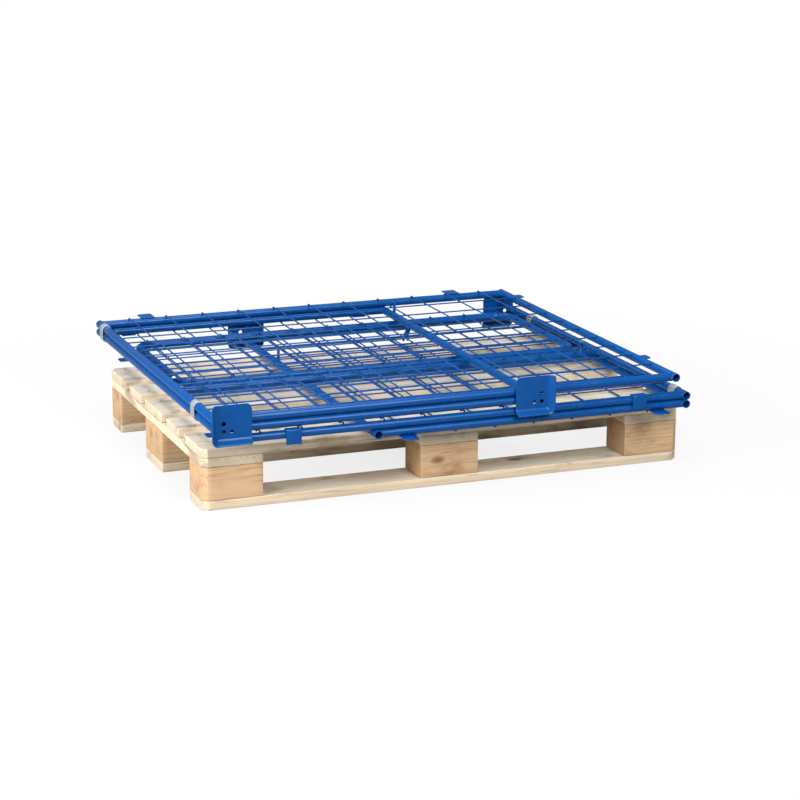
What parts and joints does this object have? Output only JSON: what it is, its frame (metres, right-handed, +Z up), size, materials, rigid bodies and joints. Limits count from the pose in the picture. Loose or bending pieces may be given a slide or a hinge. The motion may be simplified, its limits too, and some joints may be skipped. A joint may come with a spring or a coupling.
{
  "type": "folded mesh pallet cage",
  "caption": "Wire-mesh pallet cage folded flat: hinged tube-framed panels, one with a half gate, lying in a stack on a wooden fork pallet.",
  "frame": {"origin": "on the floor under the middle of the pallet", "axes": "+X along the pallet's length, +Y from the pallet's front to its back, +Z up"},
  "size_m": [1.2021, 1.0715, 0.2635],
  "materials": {
    "board_wood": "sawn softwood, worn and slightly greyed",
    "block_wood": "sawn softwood end grain",
    "blue_coat": "glossy powder coat on steel",
    "grey_strap": "pale zinc-plated strap",
    "pin_zinc": "bright zinc"
  },
  "bodies": {
    "pallet": {"bottom_board_front": "board_wood", "bottom_board_middle": "board_wood", "bottom_board_back": "board_wood", "stringer_left": "board_wood", "stringer_middle": "board_wood", "stringer_right": "board_wood", "deck_board_1": "board_wood", "deck_board_2": "board_wood", "deck_board_3": "board_wood", "deck_board_4": "board_wood", "deck_board_5": "board_wood", "block_left_front": "block_wood", "block_left_middle": "block_wood", "block_left_back": "block_wood", "block_middle_front": "block_wood", "block_middle_middle": "block_wood", "block_middle_back": "block_wood", "block_right_front": "block_wood", "block_right_middle": "block_wood", "block_right_back": "block_wood"},
    "lower_short_panel": {"lower_post_hinge": "blue_coat", "lower_post_free": "blue_coat", "lower_rail_top": "blue_coat", "lower_rail_bottom": "blue_coat", "lower_mesh": "blue_coat", "lower_corner_plate_hinge": "blue_coat", "lower_corner_plate_free": "blue_coat", "lower_clip_top": "grey_strap", "lower_clip_bottom": "grey_strap"},
    "lower_long_panel": {"gated_post_hinge": "blue_coat", "gated_post_free": "blue_coat", "gated_rail_middle": "blue_coat", "gated_rail_bottom": "blue_coat", "gated_mesh": "blue_coat", "gate_frame": "blue_coat", "gate_mesh": "blue_coat"},
    "gate_pin_hinge_side": {"gate_pin_hinge_side": "pin_zinc"},
    "gate_pin_free_side": {"gate_pin_free_side": "pin_zinc"},
    "upper_short_panel": {"upper_post_hinge": "blue_coat", "upper_post_free": "blue_coat", "upper_rail_top": "blue_coat", "upper_rail_bottom": "blue_coat", "upper_mesh": "blue_coat", "upper_corner_plate_hinge": "blue_coat", "upper_corner_plate_free": "blue_coat", "upper_clip_top": "grey_strap", "upper_clip_bottom": "grey_strap"},
    "upper_long_panel": {"plain_post_hinge": "blue_coat", "plain_post_free": "blue_coat", "plain_rail_top": "blue_coat", "plain_rail_bottom": "blue_coat", "plain_mesh": "blue_coat"}
  },
  "joints": [
    {"name": "lower_unit_lift", "type": "slide", "parent": "pallet", "child": "lower_short_panel", "axis": [0, 0, 1], "range_m": [0, 0.25]},
    {"name": "lower_fold", "type": "hinge", "parent": "lower_short_panel", "child": "lower_long_panel", "pos_m": [0.5775, 0.0365, 0.1799], "axis": [0, 1, 0], "range_deg": [0, 90]},
    {"name": "pin_pull_hinge_side", "type": "slide", "parent": "lower_long_panel", "child": "gate_pin_hinge_side", "axis": [0, 0, 1], "range_m": [0, 0.012]},
    {"name": "pin_pull_free_side", "type": "slide", "parent": "lower_long_panel", "child": "gate_pin_free_side", "axis": [0, 0, 1], "range_m": [0, 0.012]},
    {"name": "upper_unit_lift", "type": "slide", "parent": "lower_long_panel", "child": "upper_short_panel", "axis": [0, 0, 1], "range_m": [0, 0.25]},
    {"name": "upper_fold", "type": "hinge", "parent": "upper_short_panel", "child": "upper_long_panel", "pos_m": [-0.5865, 0.0365, 0.2265], "axis": [0, -1, 0], "range_deg": [0, 90]}
  ]
}
